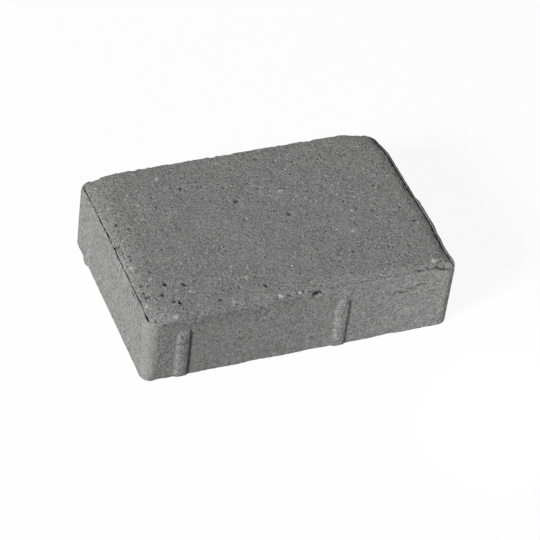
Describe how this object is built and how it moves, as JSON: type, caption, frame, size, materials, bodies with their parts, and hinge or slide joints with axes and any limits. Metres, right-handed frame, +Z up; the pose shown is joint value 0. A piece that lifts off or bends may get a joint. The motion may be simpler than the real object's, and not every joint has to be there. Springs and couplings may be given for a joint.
{
  "type": "concrete paving stone",
  "caption": "Rectangular grey concrete paving stone with a softly rounded top edge, a moulded rim line, rounded upright corners and low spacer ribs on its walls.",
  "frame": {"origin": "middle of the bed face, the flat underside that the stone lies on", "axes": "+X along the stone's length, with the front wall of the picture towards -Y; +Z up, from the bed face to the walking face"},
  "size_m": [0.243, 0.163, 0.06],
  "materials": {
    "concrete": "matte grey pressed concrete, sandy and finely pitted on the walking face, smoother on the moulded walls"
  },
  "bodies": {
    "root": {"paving_stone": "concrete"}
  },
  "joints": []
}
